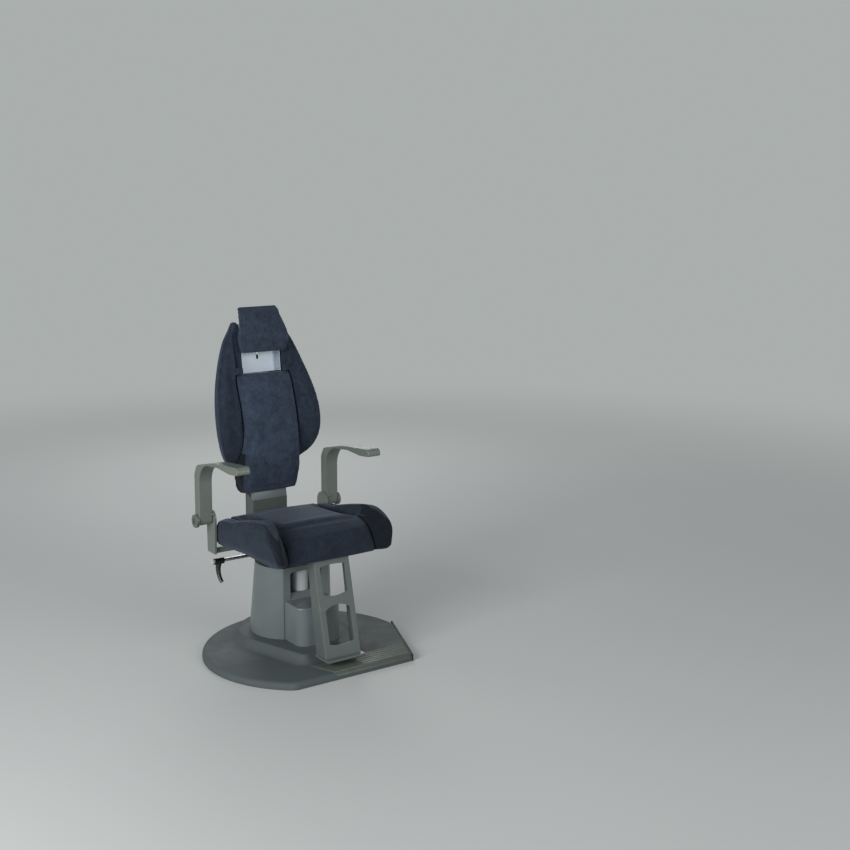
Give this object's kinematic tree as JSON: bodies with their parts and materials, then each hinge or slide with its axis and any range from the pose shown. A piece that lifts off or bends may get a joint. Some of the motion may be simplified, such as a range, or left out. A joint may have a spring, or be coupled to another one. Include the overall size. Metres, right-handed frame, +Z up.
{
  "type": "ophthalmic examination chair",
  "caption": "Examination chair with a hydraulic lift in a round-backed pedestal, folding arms, reclining winged back, sliding headrest and a hanging footrest frame",
  "frame": {"origin": "on the floor, at the centre of the round base", "axes": "+Z up, the chair faces -Y, and +X is the sitter's left"},
  "size_m": [0.8365, 0.8, 1.352],
  "materials": {
    "base_paint": "satin blue-grey paint on a casting",
    "cover_paint": "satin blue-grey paint on sheet metal",
    "tread_plastic": "matt olive-grey ribbed mat",
    "trim_metal": "satin anodised plate",
    "column_steel": "ground steel",
    "liner_plastic": "low-friction plastic",
    "fastener_steel": "zinc plated steel",
    "pad_rubber": "moulded rubber",
    "cylinder_paint": "off-white gloss paint",
    "piston_chrome": "hard chrome",
    "motor_paint": "dark enamel",
    "pipe_metal": "drawn tube",
    "box_plastic": "moulded box",
    "frame_paint": "black powder coat",
    "panel_wood": "plywood",
    "seat_cloth": "navy blue brushed velour",
    "side_cloth": "navy blue brushed velour",
    "arm_paint": "satin light grey paint on cast aluminium",
    "cap_plastic": "moulded cap",
    "lever_plastic": "black moulded plastic",
    "footrest_paint": "satin blue-grey paint on folded sheet",
    "bracket_paint": "satin blue-grey paint on folded plate",
    "cover_plastic": "moulded grey shell",
    "carrier_metal": "satin folded plate"
  },
  "bodies": {
    "base": {"base_casting": "base_paint", "tread_plate": "tread_plastic", "seam_strip": "pad_rubber", "pedestal_cover": "cover_paint", "front_housing": "cover_paint", "column_outer": "column_steel", "column_liner": "liner_plastic", "column_bolts": "fastener_steel", "stop_pads": "pad_rubber", "lift_cylinder": "cylinder_paint", "cylinder_gland": "cylinder_paint", "pump_motor": "motor_paint", "pump_tank": "motor_paint", "pressure_pipe": "pipe_metal", "control_box": "box_plastic"},
    "seat": {"column_inner": "column_steel", "column_shoe": "liner_plastic", "lift_piston": "piston_chrome", "carriage_plate": "frame_paint", "wedge_rails": "frame_paint", "seat_frame": "frame_paint", "seat_board": "panel_wood", "seat_cushion": "seat_cloth", "bolster_left": "side_cloth", "bolster_right": "side_cloth", "arm_yoke": "arm_paint", "arm_pins": "column_steel", "recline_pin": "column_steel", "brake_collar": "frame_paint", "clamp_block": "frame_paint", "footrest_frame": "footrest_paint", "footrest_lip": "footrest_paint"},
    "clamp_lever": {"lever_shaft": "piston_chrome", "clamp_cam": "frame_paint", "lever_hub": "lever_plastic", "lever_handle": "lever_plastic", "lever_cap": "lever_plastic"},
    "arm_left": {"arm_left": "arm_paint", "arm_bush_left": "liner_plastic", "arm_cap_left": "cap_plastic"},
    "arm_right": {"arm_right": "arm_paint", "arm_bush_right": "liner_plastic", "arm_cap_right": "cap_plastic"},
    "back": {"back_bracket": "bracket_paint", "recline_sleeve": "column_steel", "back_board": "panel_wood", "back_cover": "cover_plastic", "back_cushion": "seat_cloth", "wing_left": "side_cloth", "wing_right": "side_cloth", "headrest_channel": "trim_metal"},
    "headrest": {"headrest_carrier": "carrier_metal", "headrest_board": "panel_wood", "headrest_cushion": "side_cloth", "knob_stud": "fastener_steel"},
    "headrest_knob": {"headrest_knob": "lever_plastic"}
  },
  "joints": [
    {"name": "seat_lift", "type": "slide", "parent": "base", "child": "seat", "axis": [0, 0, 1], "range_m": [0, 0.18]},
    {"name": "back_recline", "type": "hinge", "parent": "seat", "child": "back", "pos_m": [0, 0.347, 0.44], "axis": [-1, 0, 0], "range_deg": [0, 30]},
    {"name": "arm_left_fold", "type": "hinge", "parent": "seat", "child": "arm_left", "pos_m": [0.292, 0.316, 0.507], "axis": [-1, 0, 0], "range_deg": [0, 90]},
    {"name": "arm_right_fold", "type": "hinge", "parent": "seat", "child": "arm_right", "pos_m": [-0.292, 0.316, 0.507], "axis": [-1, 0, 0], "range_deg": [0, 90]},
    {"name": "clamp_turn", "type": "hinge", "parent": "seat", "child": "clamp_lever", "pos_m": [-0.2, 0.304, 0.33], "axis": [1, 0, 0], "range_deg": [-60, 0]},
    {"name": "headrest_slide", "type": "slide", "parent": "back", "child": "headrest", "axis": [0, 0.1271, 0.9919], "range_m": [-0.045, 0.065]},
    {"name": "knob_turn", "type": "hinge", "parent": "headrest", "child": "headrest_knob", "pos_m": [0, 0.40553, 1.18663], "axis": [0, 0.9919, -0.1271], "continuous": true}
  ]
}
